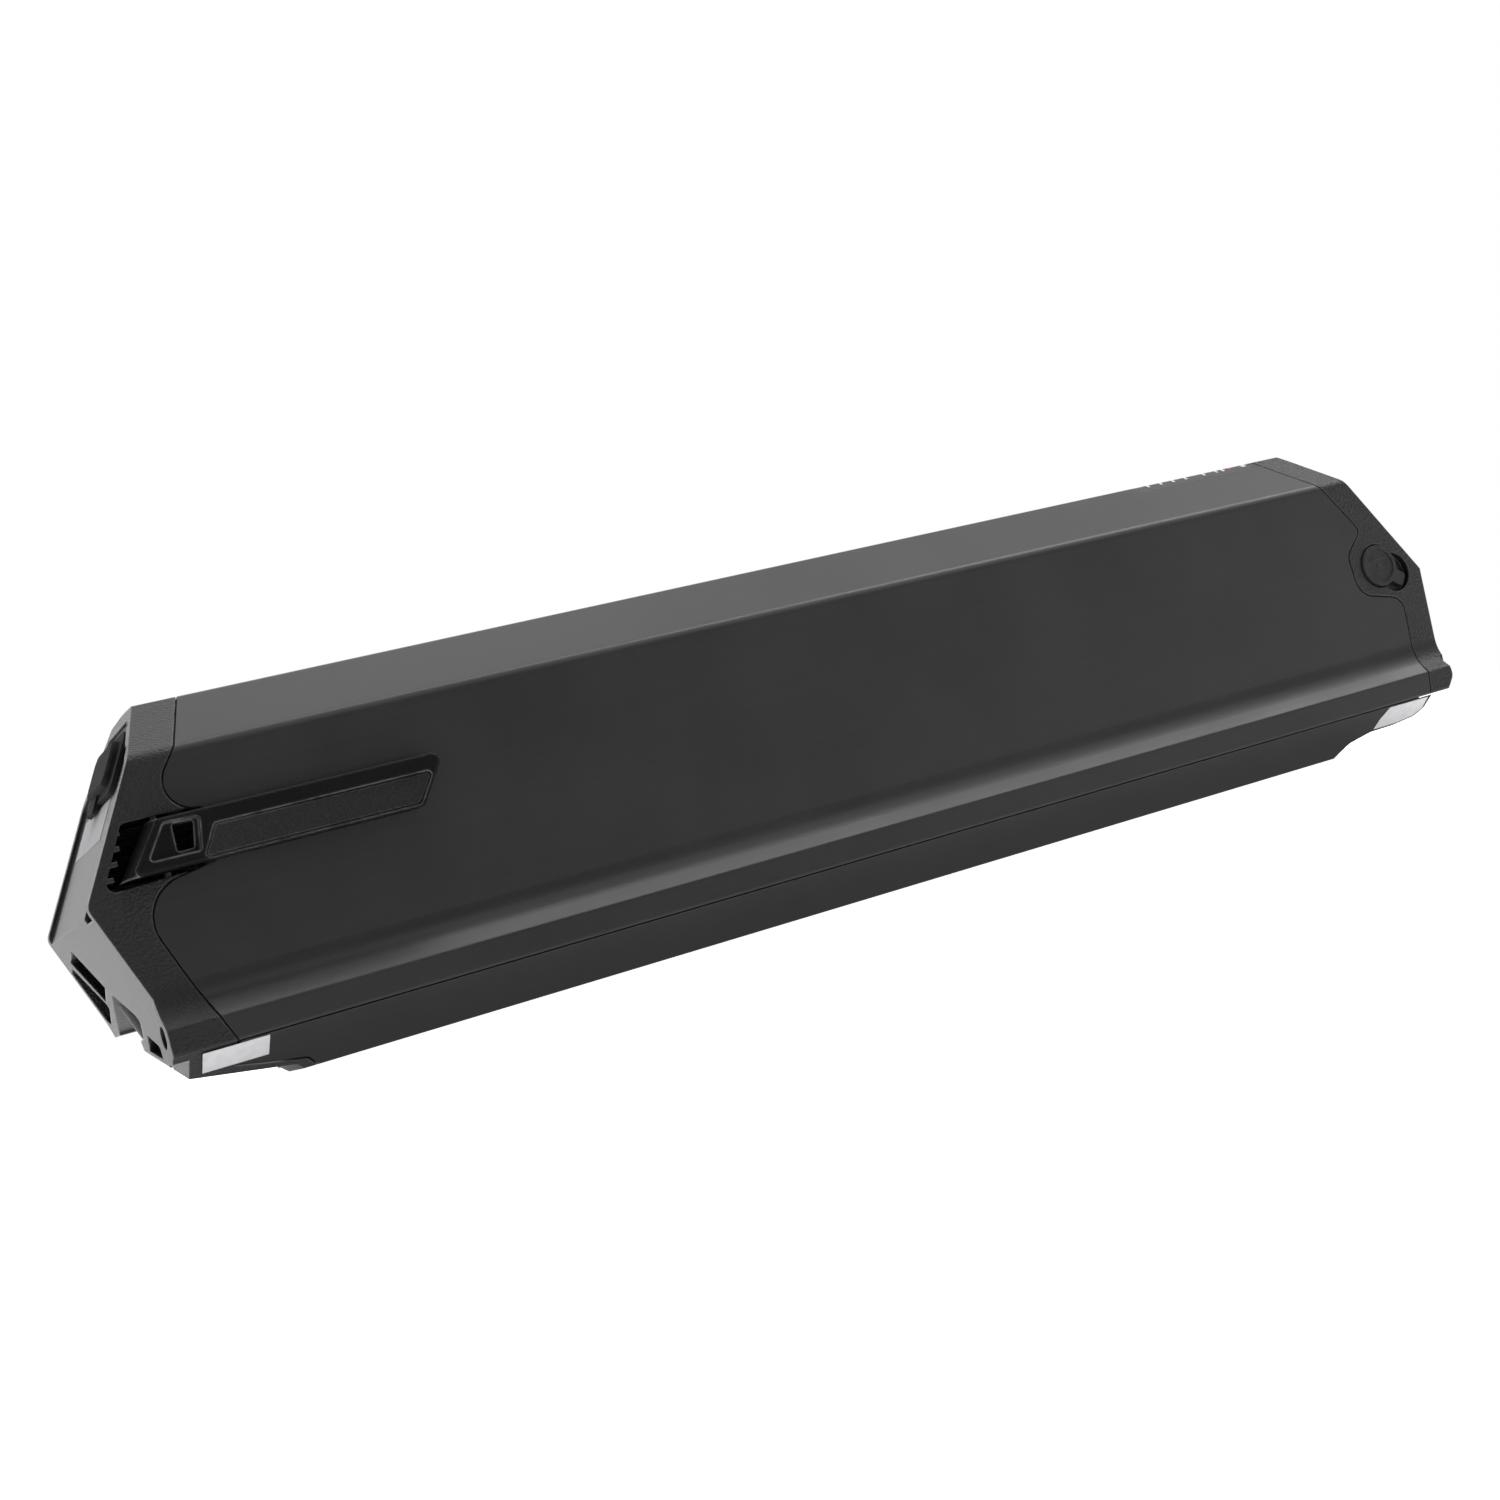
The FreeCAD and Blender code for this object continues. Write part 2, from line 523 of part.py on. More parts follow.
def cap_screws(side):
    screws = []
    for y, z, seat, _, into in screw_axes(side):
        head_x = seat if into > 0 else seat + 3.0
        tip = head_x + into * 18.0
        head = rod(HEAD_R, (head_x - into * HEAD_H, y, z), (head_x - into * 0.05, y, z))
        head = head.cut(rod(1.25, (head_x - into * 5.0, y, z), (head_x - into * 1.2, y, z)))
        shank = rod(SCREW_R, (head_x - into * 0.5, y, z), (tip, y, z))
        screws.append(fuse([head, shank]))
    return Part.makeCompound(screws)


def carry_lever():
    height = LEVER_TOP - LEVER_BOTTOM
    left = LEVER_LEFT
    arm = prism([
        (left, LEVER_BOTTOM, 1.5), (LEVER_RIGHT, LEVER_BOTTOM, 2.0),
        (LEVER_RIGHT + LEVER_LEAN - 0.3, LEVER_TOP, 2.5), (left + LEVER_LEAN, LEVER_TOP, 1.2)], "xz", LEVER_FACE, LEVER_BACK)
    arm = rounded_edges(arm, 0.8, lambda c: abs(c.y - LEVER_FACE) < 1e-4)
    heel_face = Part.Face(outline([
        (left + 0.4, -49.9), (left - 1.2, -48.9, 1.0), (left - 2.2, -46.0, 1.5), (left - 2.2, -38.0, 2.5),
        (left + 0.4, -35.8, 1.5), (HEEL_RIGHT, -35.8, 2.0), (HEEL_RIGHT, -49.9)], "xy"))
    heel_face.translate(V(0, 0, LEVER_BOTTOM))
    heel = heel_face.extrude(V(LEVER_LEAN, 0, height))
    heel = heel.common(box((0.0, HEEL_RIGHT), (-49.9, -30.0), (0.0, 30.0)))
    tray = prism([(18.2, 7.8, 1.0), (33.4, 7.7, 1.0), (35.2, 17.4, 1.0), (24.9, 17.8, 1.2)],
                 "xz", LEVER_FACE - 1.0, LEVER_FACE + 1.7)
    window = prism([(27.0, 8.9, 0.8), (31.9, 9.1, 0.8), (33.5, 16.8, 0.8), (27.4, 17.1, 0.8)],
                   "xz", LEVER_FACE - 1.0, -34.0)
    grip = grip_prism(0.2, LEVER_FACE - 1.0, GRIP_SEAT)
    bore = rod(PIN_BORE_R, (HINGE_X, HINGE_Y, 0.0), (HINGE_X, HINGE_Y, 25.0))
    return fuse([arm, heel]).cut(fuse([tray, window, grip, bore]))


def grip_prism(grow, low, high):
    face = Part.Face(outline([
        (33.9, 5.5, 0.8), (98.9, 5.5, 1.8), (104.9, 14.1, 1.0), (38.8, 14.1, 1.0)], "xz"))
    return extrude(face.makeOffset2D(grow) if grow else face, "xz", low, high)


def lever_grip():
    """Panel in the lever's front, proud at its left end and level with the lever at its right."""
    back = GRIP_SEAT - 0.2
    wedge = prism([(30.0, -51.0), (110.0, -50.2), (110.0, back), (30.0, back)], "xy", 0.0, 25.0)
    pad = grip_prism(0.0, LEVER_FACE - 1.0, back).common(wedge)
    front = min(pad.Faces, key=lambda face: face.CenterOfMass.y)
    return pad.makeChamfer(0.3, front.Edges)


def lever_pin():
    return rod(PIN_R, (HINGE_X, HINGE_Y, 1.2), (HINGE_X, HINGE_Y, 22.2))


def port_flap():
    """Rubber flap over the end port, hinged at its upper end, with a pull lip below."""
    plate = on_upper_face([
        (-22.5, 38.0, 5.0), (-22.5, 57.5, 7.0), (22.5, 57.5, 7.0), (22.5, 38.0, 5.0)],
        -0.2, PANEL_DEPTH - 0.15)
    dome = prism([(-17.0, 40.5, 4.0), (-17.0, 55.0, 5.0), (17.0, 55.0, 5.0), (17.0, 40.5, 4.0)],
                 "xy", -2.3, 0.0)
    dome = place(rounded_edges(dome, 1.2, lambda c: c.z < -2.2), V(0, 0, 0), UP_U, UP_V)
    lip = on_upper_face([(2.0, 35.0, 1.5), (2.0, 41.5), (15.0, 41.5), (15.0, 35.0, 1.5)], -0.9, 0.6)
    stem = on_upper_face([
        (-13.5, 44.0, 2.0), (-13.5, 52.0, 2.0), (13.5, 52.0, 2.0), (13.5, 44.0, 2.0)], 0.5, 3.2)
    return fuse([plate, dome, lip, stem])


def port_socket():
    """Connector at the bottom of the port pocket, with its row of contacts."""
    shell = on_upper_face([
        (-12.0, 43.5, 1.5), (-12.0, 52.5, 1.5), (12.0, 52.5, 1.5), (12.0, 43.5, 1.5)], 4.4, 8.8)
    mouth = on_upper_face([
        (-10.5, 45.0, 1.0), (-10.5, 51.0, 1.0), (10.5, 51.0, 1.0), (10.5, 45.0, 1.0)], 4.0, 8.0)
    tongue = on_upper_face([(-7.0, 47.4), (-7.0, 48.6), (7.0, 48.6), (7.0, 47.4)], 5.0, 8.4)
    return fuse([shell.cut(mouth), tongue])


def charge_plug():
    """Round rubber plug with a raised rim, a hollow stem and a finger tab."""
    face_y = -SIDE_HALF - PLUG_PROUD
    disc = rod(PLUG_R, (PLUG_X, face_y, PLUG_Z), (PLUG_X, -41.0, PLUG_Z))
    disc = rounded_edges(disc, 0.45, lambda c: c.y < face_y + 0.1)
    dish = rod(PLUG_R - 1.5, (PLUG_X, face_y - 1, PLUG_Z), (PLUG_X, face_y + 0.45, PLUG_Z))
    bars = [box((PLUG_X - 3.6, PLUG_X + 3.6), (face_y + 0.2, face_y + 1),
                (PLUG_Z + dz - 0.3, PLUG_Z + dz + 0.3))
            for dz in (-2.6, 2.6)]
    dot = rod(0.9, (PLUG_X, face_y + 0.2, PLUG_Z), (PLUG_X, face_y + 1, PLUG_Z))
    stem = rod(4.3, (PLUG_X, -41.2, PLUG_Z), (PLUG_X, -35.2, PLUG_Z))
    stem = stem.cut(rod(2.6, (PLUG_X, -40.5, PLUG_Z), (PLUG_X, -34.0, PLUG_Z)))
    reach = math.hypot(TAB_END[0] - PLUG_X, TAB_END[1] - PLUG_Z)
    along = V(TAB_END[0] - PLUG_X, 0, TAB_END[1] - PLUG_Z).normalize()
    tab = place(prism([(0.0, -2.6), (reach, -2.6, 1.2), (reach, 2.6, 1.2), (0.0, 2.6)], "xy", 0.0, 2.0),
                V(PLUG_X, -43.6, PLUG_Z), along, along.cross(V(0, -1, 0)))
    return fuse([disc.cut(dish), dot, stem, tab] + bars)


def charge_socket():
    """Barrel socket behind the plug, with its centre pin."""
    body = box((PLUG_X - 7.2, PLUG_X + 7.2), (SOCKET_FRONT + 0.1, -17.0), (-2.2, 11.6))
    body = body.cut(rod(4.2, (PLUG_X, SOCKET_FRONT, PLUG_Z), (PLUG_X, -22.0, PLUG_Z)))
    pin = rod(1.0, (PLUG_X, -36.5, PLUG_Z), (PLUG_X, -20.0, PLUG_Z))
    lugs = [box((x - 1.2, x + 1.2), (-17.5, -12.5), (PLUG_Z - 0.4, PLUG_Z + 0.4)) for x in (478.5, 485.5)]
    return fuse([body, pin] + lugs)


def discharge_connector():
    """Block over the opening in the base's ramp, with two power slots and four signal slots."""
    body = box((452.4, 478.6), (-16.6, 16.6), (-47.6, -36.0))
    flange = box((449.0, 481.0), (-19.0, 19.0), (-43.2, -41.2))
    slots = [box((455.0, 468.0), (y - 1.6, y + 1.6), (-50.0, -38.0)) for y in (-9.0, 9.0)]
    slots += [box((471.0, 476.0), (y - 0.8, y + 0.8), (-50.0, -40.0)) for y in (-6.0, -2.0, 2.0, 6.0)]
    return fuse([body, flange]).cut(fuse(slots))


def discharge_contacts():
    blades = [box((457.0, 466.0), (y - 0.5, y + 0.5), (-46.5, -38.2)) for y in (-9.0, 9.0)]
    blades += [box((472.0, 475.0), (y - 0.3, y + 0.3), (-46.5, -40.2)) for y in (-6.0, -2.0, 2.0, 6.0)]
    return Part.makeCompound(blades)


def cell_centres():
    centres = []
    for row, count in enumerate(COLUMNS):
        start = CELL_X + (CELL_PITCH / 2 if row % 2 else 0.0)
        centres += [(start + i * CELL_PITCH, CELL_Z + row * ROW_PITCH) for i in range(count)]
    return centres


def cells():
    half = CELL_LENGTH / 2
    solids = []
    for i, (x, z) in enumerate(cell_centres()):
        turn = 1 if i % 2 else -1
        can = rod(CELL_R - 0.1, (x, -half, z), (x, half, z))
        tip = rod(3.0, (x, turn * (half - 0.5), z), (x, turn * (half + 0.8), z))
        solids.append(can.fuse(tip).removeSplitter())
    return Part.makeCompound(solids)


def cell_holder(side):
    plate = box(HOLDER_X, sorted((side * 30.0, side * 37.4)), HOLDER_Z)
    tools = []
    for x, z in cell_centres():
        tools.append(rod(CELL_R, (x, side * 20.0, z), (x, side * 35.3, z)))
        tools.append(rod(6.5, (x, side * 20.0, z), (x, side * 45.0, z)))
    return plate.cut(Part.makeCompound(tools))


def nickel_strips(side):
    """One welded strip for each pair of columns on a side, with a tab over each cell."""
    inner, outer = 37.6, 37.9
    strips = []
    offset = 0 if side < 0 else 1
    for first in range(offset, COLUMNS[0], 2):
        bars = []
        for row, count in enumerate(COLUMNS):
            start = CELL_X + (CELL_PITCH / 2 if row % 2 else 0.0)
            last = min(first + 1, count - 1)
            z = CELL_Z + row * ROW_PITCH
            bar_start = start + (first if first < count else last) * CELL_PITCH - 4
            bars.append(box((bar_start, start + last * CELL_PITCH + 4),
                            sorted((side * inner, side * outer)), (z - 3.5, z + 3.5)))
        x = CELL_X + first * CELL_PITCH
        bars.append(box((x + 4.0, x + 10.0), sorted((side * inner, side * outer)),
                        (CELL_Z - 3.5, CELL_Z + 3 * ROW_PITCH + 3.5)))
        strips.append(fuse(bars))
    return Part.makeCompound(strips)


def insulation_sheet(side):
    return box((HOLDER_X[0] + 2, HOLDER_X[1] - 2), sorted((side * 38.3, side * 38.9)), (-42.0, 36.0))


def end_insulator():
    """Board across the lever end of the cells."""
    return box((50.8, 52.2), (-38.0, 38.0), (-42.0, 34.0))


def foam_pads():
    top = [box((x, x + 60.0), (-24.0, 24.0), (38.0, 41.8)) for x in (80.0, 210.0, 340.0)]
    bottom = [box((x, x + 60.0), (-20.0, 20.0), (-56.8, -43.6)) for x in (80.0, 210.0, 340.0)]
    return Part.makeCompound(top + bottom)


def management_board():
    return box((BOARD_X, BOARD_X + 1.6), (-36.0, 36.0), (-34.0, 34.0))


def board_parts():
    front = BOARD_X + 1.6
    heat_sink = box((front, front + 3.0), (-32.0, 32.0), (14.0, 30.0))
    fins = [box((front + 3.0, front + 9.0), (y - 0.8, y + 0.8), (14.0, 30.0)) for y in range(-30, 31, 6)]
    chips = [box((front, front + 1.8), (y - 4.5, y + 4.5), (z - 4.5, z + 4.5))
             for y, z in ((-22.0, 0.0), (-8.0, -2.0), (10.0, 2.0), (24.0, -1.0))]
    caps = [rod(3.2, (front, y, -16.0), (front + 9.0, y, -16.0)) for y in (-26.0, -17.0, 22.0)]
    header = box((front, front + 6.0), (-8.0, 14.0), (-30.0, -24.0))
    return Part.makeCompound([fuse([heat_sink] + fins), header] + chips + caps)


def board_tray():
    """Insulating tray between the cells and the board."""
    tray = box((430.0, BOARD_X - 0.2), (-38.0, 38.0), (-36.0, 36.0))
    return tray.cut(box((431.6, BOARD_X + 1.0), (-36.4, 36.4), (-34.4, 34.4))).fuse(
        fuse([box((431.4, BOARD_X - 0.2), (y - 3, y + 3), (z - 3, z + 3)) for y in (-33.0, 33.0)
              for z in (-31.0, 31.0)])).removeSplitter()


def fuse_holder():
    body = box((38.0, 50.0), (4.0, 30.0), (24.0, 34.0))
    return body.cut(box((40.0, 48.0), (6.0, 28.0), (26.0, 36.0)))


def main_fuse():
    tube = rod(2.9, (44.0, 7.0, 29.0), (44.0, 27.0, 29.0))
    return tube


def wire(points, radius):
    """Round wire along a smooth curve."""
    curve = Part.BSplineCurve()
    curve.interpolate([V(*p) for p in points])
    path = Part.Wire(curve.toShape())
    start = curve.tangent(curve.FirstParameter)[0]
    circle = Part.Wire(Part.Circle(V(*points[0]), start, radius).toShape())
    return path.makePipeShell([circle], True, True)


def positive_wire():
    return wire([(448.0, 12.0, -27.0), (456.0, 11.0, -27.5), (461.0, 9.4, -30.5), (461.5, 9.0, -35.2)], 1.9)


def negative_wire():
    return wire([(448.0, -3.0, -27.0), (456.0, -5.0, -27.5), (461.0, -8.4, -30.5), (461.5, -9.0, -35.2)], 1.9)


def charge_wires():
    return Part.makeCompound([
        wire([(x, -12.2, PLUG_Z), (x - 3, -6.0, PLUG_Z), (462.0, y, 6.0), (452.5, y, 8.0)], 1.1)
        for x, y in ((478.5, -4.0), (485.5, 2.0))])


def sense_ribbon():
    """Flat cable from the cells to the board, under the top, as a folded strip."""
    return prism([(90.0, 42.4), (90.0, 43.2), (441.0, 43.2), (446.2, 37.2), (446.2, 36.2), (445.4, 36.2),
                  (440.4, 42.4)], "xz", -4.0, 4.0)


def temperature_sensor():
    bead = Part.makeSphere(1.8, V(250.0, 20.0, 43.8))
    return bead


def end_label():
    return on_upper_face([
        (-17.0, 24.4), (33.5, 24.4), (33.5, 37.2, 0.5), (-17.0, 37.2, 0.5)],
        PANEL_DEPTH - 0.12, PANEL_DEPTH)


def slant_label(points):
    return on_slant(points, -0.12, 0.0)


NODES = {
    "housing_extrusion": housing_extrusion,
    "base_cover": base_cover,
    "left_end_cap": left_end_cap,
    "right_end_cap": right_end_cap,
    "left_gasket": lambda: gasket("left"),
    "right_gasket": lambda: gasket("right"),
    "left_cap_screws": lambda: cap_screws("left"),
    "right_cap_screws": lambda: cap_screws("right"),
    "carry_lever": carry_lever,
    "lever_grip": lever_grip,
    "lever_pin": lever_pin,
    "port_flap": port_flap,
    "port_socket": port_socket,
    "lock_catch": lock_catch,
    "charge_plug": charge_plug,
    "charge_socket": charge_socket,
    "discharge_connector": discharge_connector,
    "discharge_contacts": discharge_contacts,
    "indicator_film": indicator_film,
    "light_pipes": light_pipes,
    "status_window": status_window,
    "power_button": power_button,
    "indicator_board": indicator_board,
    "cells": cells,
    "cell_holder_near": lambda: cell_holder(-1),
    "cell_holder_far": lambda: cell_holder(1),
    "nickel_strips_near": lambda: nickel_strips(-1),
    "nickel_strips_far": lambda: nickel_strips(1),
    "insulation_sheet_near": lambda: insulation_sheet(-1),
    "insulation_sheet_far": lambda: insulation_sheet(1),
    "end_insulator": end_insulator,
    "foam_pads": foam_pads,
    "management_board": management_board,
    "board_parts": board_parts,
    "board_tray": board_tray,
    "fuse_holder": fuse_holder,
    "main_fuse": main_fuse,
    "positive_wire": positive_wire,
    "negative_wire": negative_wire,
    "charge_wires": charge_wires,
    "sense_ribbon": sense_ribbon,
    "temperature_sensor": temperature_sensor,
    "end_label": end_label,
    "side_label_left": lambda: slant_label([(19.2, 0.9), (38.6, 0.9), (38.6, 10.3), (19.2, 10.3)]),
    "side_label_right": lambda: slant_label([
        (464.5, 0.7), (483.3, 0.7), (483.6, 7.0), (480.6, 9.9), (472.3, 11.5), (461.8, 11.5), (462.5, 6.0)]),
}

for name, build in NODES.items():
    shape = build()
    shape.translate(SHIFT)
    shape.exportStep("parts/" + name + ".step")
    print(name, len(shape.Solids), round(shape.Volume), shape.isValid(), flush=True)
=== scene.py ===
import json

import bpy
from mathutils import Matrix, Vector

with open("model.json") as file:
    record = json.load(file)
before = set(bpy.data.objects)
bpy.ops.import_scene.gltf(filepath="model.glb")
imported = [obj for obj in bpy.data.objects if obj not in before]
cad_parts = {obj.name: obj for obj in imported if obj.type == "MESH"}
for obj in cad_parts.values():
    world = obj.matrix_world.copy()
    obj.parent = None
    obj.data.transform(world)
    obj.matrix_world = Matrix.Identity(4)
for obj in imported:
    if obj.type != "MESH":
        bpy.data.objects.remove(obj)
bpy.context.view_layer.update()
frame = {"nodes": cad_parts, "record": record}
NODES = frame["nodes"]
scene = bpy.context.scene
scene.view_settings.view_transform = "Standard"


# ---------------------------------------------------------------- camera

CAMERA_PLACE = (-0.3568, -0.6772, 0.0133)
CAMERA_RIGHT = (0.8681, -0.4108, -0.2787)
CAMERA_BACK = (-0.4428, -0.8945, -0.0609)
LENS_MM, SENSOR_MM = 53.29, 36.0


def add_camera():
    """Camera low and to the left of the lever side, rolled so that the pack climbs to the right."""
    data = bpy.data.cameras.new("camera")
    data.sensor_width = SENSOR_MM
    data.lens = LENS_MM
    data.clip_start, data.clip_end = 0.01, 100.0
    camera = bpy.data.objects.new("camera", data)
    right = Vector(CAMERA_RIGHT).normalized()
    back = Vector(CAMERA_BACK).normalized()
    up = back.cross(right).normalized()
    right = up.cross(back).normalized()
    turn = Matrix((right, up, back)).transposed().to_4x4()
    camera.matrix_world = Matrix.Translation(CAMERA_PLACE) @ turn
    scene.collection.objects.link(camera)
    scene.camera = camera


# ---------------------------------------------------------------- materials

BEVEL_SAMPLES = 6


class Look:
    """A procedural material: one shader, its texture coordinates in metres and short ways to add nodes."""

    def __init__(self, name, rough=0.5, metallic=0.0, specular=0.5, coat=0.0, coat_rough=0.2,
                 transmission=0.0):
        self.material = bpy.data.materials.new(name)
        self.material.use_nodes = True
        self.tree = self.material.node_tree
        self.shader = self.tree.nodes["Principled BSDF"]
        self.place = self.tree.nodes.new("ShaderNodeTexCoord").outputs["Object"]
        self.set("Roughness", rough)
        self.set("Metallic", metallic)
        self.set("Specular IOR Level", specular)
        self.set("Coat Weight", coat)
        self.set("Coat Roughness", coat_rough)
        self.set("Transmission Weight", transmission)

    def set(self, socket, value):
        self.shader.inputs[socket].default_value = value

    def link(self, value, socket):
        """Puts a number, a colour or another node's output into a socket."""
        if isinstance(value, (int, float)):
            socket.default_value = value
        elif isinstance(value, (tuple, list)):
            needs_alpha = len(value) == 3 and len(socket.default_value) == 4
            socket.default_value = (*value, 1.0) if needs_alpha else value
        else:
            self.tree.links.new(value, socket)

    def stretched(self, x, y, z):
        """The place scaled along each axis, so that a texture follows a direction."""
        node = self.tree.nodes.new("ShaderNodeMapping")
        self.link(self.place, node.inputs["Vector"])
        node.inputs["Scale"].default_value = (x, y, z)
        return node.outputs["Vector"]

    def noise(self, size, detail=3.0, roughness=0.5, place=None, distortion=0.0):
        """Noise whose features are about size metres across."""
        node = self.tree.nodes.new("ShaderNodeTexNoise")
        self.link(place or self.place, node.inputs["Vector"])
        node.inputs["Scale"].default_value = 1.0 / size
        node.inputs["Detail"].default_value = detail
        node.inputs["Roughness"].default_value = roughness
        node.inputs["Distortion"].default_value = distortion
        return node.outputs["Fac"]

    def cells(self, size):
        """Distance to the nearest of scattered points about size metres apart."""
        node = self.tree.nodes.new("ShaderNodeTexVoronoi")
        self.link(self.place, node.inputs["Vector"])
        node.inputs["Scale"].default_value = 1.0 / size
        return node.outputs["Distance"]

    def ramp(self, value, low, high, to_low=0.0, to_high=1.0):
        """Value mapped smoothly from [low, high] to [to_low, to_high], held outside."""
        node = self.tree.nodes.new("ShaderNodeMapRange")
        node.interpolation_type = "SMOOTHSTEP"
        for socket, number in zip(("Value", "From Min", "From Max", "To Min", "To Max"),
                                  (value, low, high, to_low, to_high)):
            self.link(number, node.inputs[socket])
        return node.outputs["Result"]

    def math(self, operation, *values):
        node = self.tree.nodes.new("ShaderNodeMath")
        node.operation = operation
        for value, socket in zip(values, node.inputs):
            self.link(value, socket)
        return node.outputs[0]

    def mix(self, fac, low, high):
        """Colour between low and high."""
        node = self.tree.nodes.new("ShaderNodeMix")
        node.data_type = "RGBA"
        self.link(fac, node.inputs[0])
        self.link(low, node.inputs[6])
        self.link(high, node.inputs[7])
        return node.outputs[2]

    def rounded_normal(self, radius):
        node = self.tree.nodes.new("ShaderNodeBevel")
        node.samples = BEVEL_SAMPLES
        node.inputs["Radius"].default_value = radius
        return node.outputs[0]

    def edges(self, radius, sharp, full):
        """1 along edges and 0 on flat faces, from how far a rounded normal leaves the real one."""
        rounded = self.rounded_normal(radius)
        geometry = self.tree.nodes.new("ShaderNodeNewGeometry")
        dot = self.tree.nodes.new("ShaderNodeVectorMath")
        dot.operation = "DOT_PRODUCT"
        self.link(rounded, dot.inputs[0])
        self.link(geometry.outputs["Normal"], dot.inputs[1])
        return self.ramp(self.math("SUBTRACT", 1.0, dot.outputs["Value"]), sharp, full)

    def colour(self, value):
        self.link((*value, 1.0) if isinstance(value, tuple) else value, self.shader.inputs["Base Color"])

    def roughness(self, value):
        self.link(value, self.shader.inputs["Roughness"])

    def bump(self, *layers, rounding=0.0):
        """Height layers (value, metres) one over the other, on edges rounded by a radius if one is given."""
        normal = None
        if rounding:
            normal = self.rounded_normal(rounding)
        for value, height in layers:
            node = self.tree.nodes.new("ShaderNodeBump")
            node.inputs["Distance"].default_value = height
            self.link(value, node.inputs["Height"])
            if normal is not None:
                self.link(normal, node.inputs["Normal"])
            normal = node.outputs[0]
        self.link(normal, self.shader.inputs["Normal"])


def grey(level):
    return (level, level, level * 1.02)


def anodised(name):
    """Satin black anodised aluminium: fine blasted grain, faint drawing lines and a little dust."""
    look = Look(name)
    clouds = look.noise(0.045, 4.0)
    lines = look.noise(0.0012, 3.0, place=look.stretched(0.02, 1.0, 1.0))
    dust = look.ramp(look.cells(0.011), 0.0, 0.022, 1.0, 0.0)
    base = look.mix(look.ramp(clouds, 0.3, 0.7), grey(0.014), grey(0.020))
    base = look.mix(look.ramp(lines, 0.35, 0.75, 0.0, 0.12), base, grey(0.030))
    look.colour(look.mix(look.math("MULTIPLY", dust, 0.35), base, grey(0.16)))
    look.roughness(look.math("ADD", look.ramp(clouds, 0.2, 0.8, 0.34, 0.40),
                             look.ramp(lines, 0.3, 0.7, -0.01, 0.015)))
    look.bump((look.noise(0.00022, 2.0), 0.000012), (look.noise(0.0009, 3.0), 0.00001), rounding=0.0004)
    return look


def moulded(name, level, grain=0.00042, depth=0.00005, rough=0.58, wear_and_highlight=0.05, rounding=0.0003,
            specular=0.42, edge_width=0.0009):
    """Black moulded plastic with a spark-eroded grain; its edges are lighter and glossier, partly wear from
    handling and partly a painted highlight.
    """
    look = Look(name, specular=specular)
    pits = look.cells(grain)
    fine = look.noise(grain * 0.6, 3.0, 0.6)
    clouds = look.noise(0.02, 3.0)
    edge = look.edges(edge_width, 0.02, 0.3)
    base = look.mix(look.ramp(clouds, 0.3, 0.7), grey(level * 0.85), grey(level * 1.2))
    base = look.mix(look.ramp(pits, 0.1, 0.7, 0.0, 0.5), base, grey(level * 1.9))
    # Edge mask: edges are painted lighter, a painted highlight along with wear from handling.
    worn_and_highlit = look.math("MULTIPLY", edge, look.ramp(look.noise(0.004, 4.0), 0.25, 0.6, 0.4, 1.0))
    look.colour(look.mix(worn_and_highlit, base, grey(level + wear_and_highlight)))
    look.roughness(look.mix(worn_and_highlit, grey(rough), grey(rough - 0.16)))
    look.bump((pits, depth), (fine, depth * 0.5), rounding=rounding)
    return look


def rubber(name, level, rough, specular=0.35):
    """Soft matt rubber with a dusty bloom and lighter edges."""
    look = Look(name, specular=specular)
    bloom = look.noise(0.006, 5.0, 0.6)
    fine = look.noise(0.00025, 2.0)
    base = look.mix(look.ramp(bloom, 0.35, 0.7), grey(level), grey(level * 1.8))
    look.colour(look.mix(look.edges(0.0005, 0.05, 0.4), base, grey(level + 0.03)))
    look.roughness(look.ramp(bloom, 0.2, 0.8, rough - 0.08, rough + 0.06))
    look.bump((fine, 0.00002), (bloom, 0.00003), rounding=0.0003)
    return look


def metal(name, colour, rough=0.3, direction=(1.0, 1.0, 0.05)):
    """Bare or plated metal with fine lines along one direction."""
    look = Look(name, metallic=1.0)
    lines = look.noise(0.0002, 3.0, place=look.stretched(*direction))
    blotch = look.noise(0.004, 4.0)
    low = tuple(c * 0.7 for c in colour)
    look.colour(look.mix(look.ramp(blotch, 0.3, 0.7), low, colour))
    look.roughness(look.ramp(lines, 0.3, 0.7, rough - 0.08, rough + 0.12))
    look.bump((lines, 0.00001), rounding=0.0002)
    return look


def glossy(name, colour, rough=0.25, transmission=0.0):
    """Smooth moulded or sleeved plastic with slight orange peel."""
    look = Look(name, coat=0.2, transmission=transmission)
    blotch = look.noise(0.005, 4.0)
    low = tuple(c * 0.75 for c in colour)
    look.colour(look.mix(look.ramp(blotch, 0.3, 0.7), low, colour))
    look.roughness(look.ramp(blotch, 0.2, 0.8, rough - 0.06, rough + 0.08))
    look.bump((look.noise(0.0012, 2.0), 0.00003), rounding=0.0002)
    return look


def film(name, colour, rough=0.4, specular=0.5, coat=0.3):
    """Plain film label: faint paper fibre, soft wrinkles and a blotchy tone."""
    look = Look(name, specular=specular, coat=coat, coat_rough=0.3)
    fibre = look.noise(0.0006, 4.0, 0.65)
    wrinkle = look.noise(0.006, 2.0, distortion=1.5)
    low = tuple(c * 0.92 for c in colour)
    look.colour(look.mix(look.ramp(look.noise(0.003, 4.0), 0.35, 0.7), low, colour))
    look.roughness(look.ramp(fibre, 0.2, 0.8, rough - 0.08, rough + 0.1))
    look.bump((fibre, 0.00001), (wrinkle, 0.00006))
    return look


